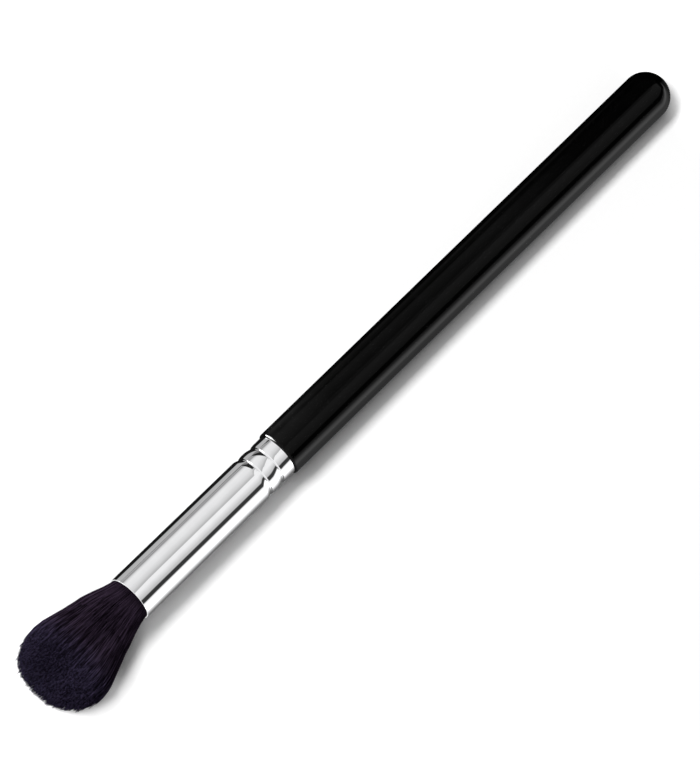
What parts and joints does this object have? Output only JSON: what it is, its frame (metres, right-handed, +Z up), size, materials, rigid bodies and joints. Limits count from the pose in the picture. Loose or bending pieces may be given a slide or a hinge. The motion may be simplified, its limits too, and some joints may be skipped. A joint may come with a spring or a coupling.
{
  "type": "blending brush",
  "caption": "Cosmetic brush with a round flared hair tuft, a crimped chrome ferrule and a slim gloss black handle, lying on its side.",
  "frame": {"origin": "on the surface that the brush lies on, under the middle of its bounding box", "axes": "+X along the brush from the hair to the butt of the handle, +Z up from the surface; the brush's own axis falls 1.38 degrees from the tuft to the butt"},
  "size_m": [0.1816, 0.0192, 0.0187],
  "materials": {
    "handle": "gloss black lacquer over turned wood",
    "ferrule": "mirror-bright chrome plating on drawn tube",
    "hair": "fine hair dyed very dark violet black, soft satin",
    "thread": "plain undyed thread",
    "resin": "set amber resin",
    "glue": "set wood glue"
  },
  "bodies": {
    "root": {"handle": "handle", "ferrule": "ferrule", "hair_tuft": "hair", "binding_thread": "thread", "glue_plug": "resin", "tenon_glue": "glue"}
  },
  "joints": []
}
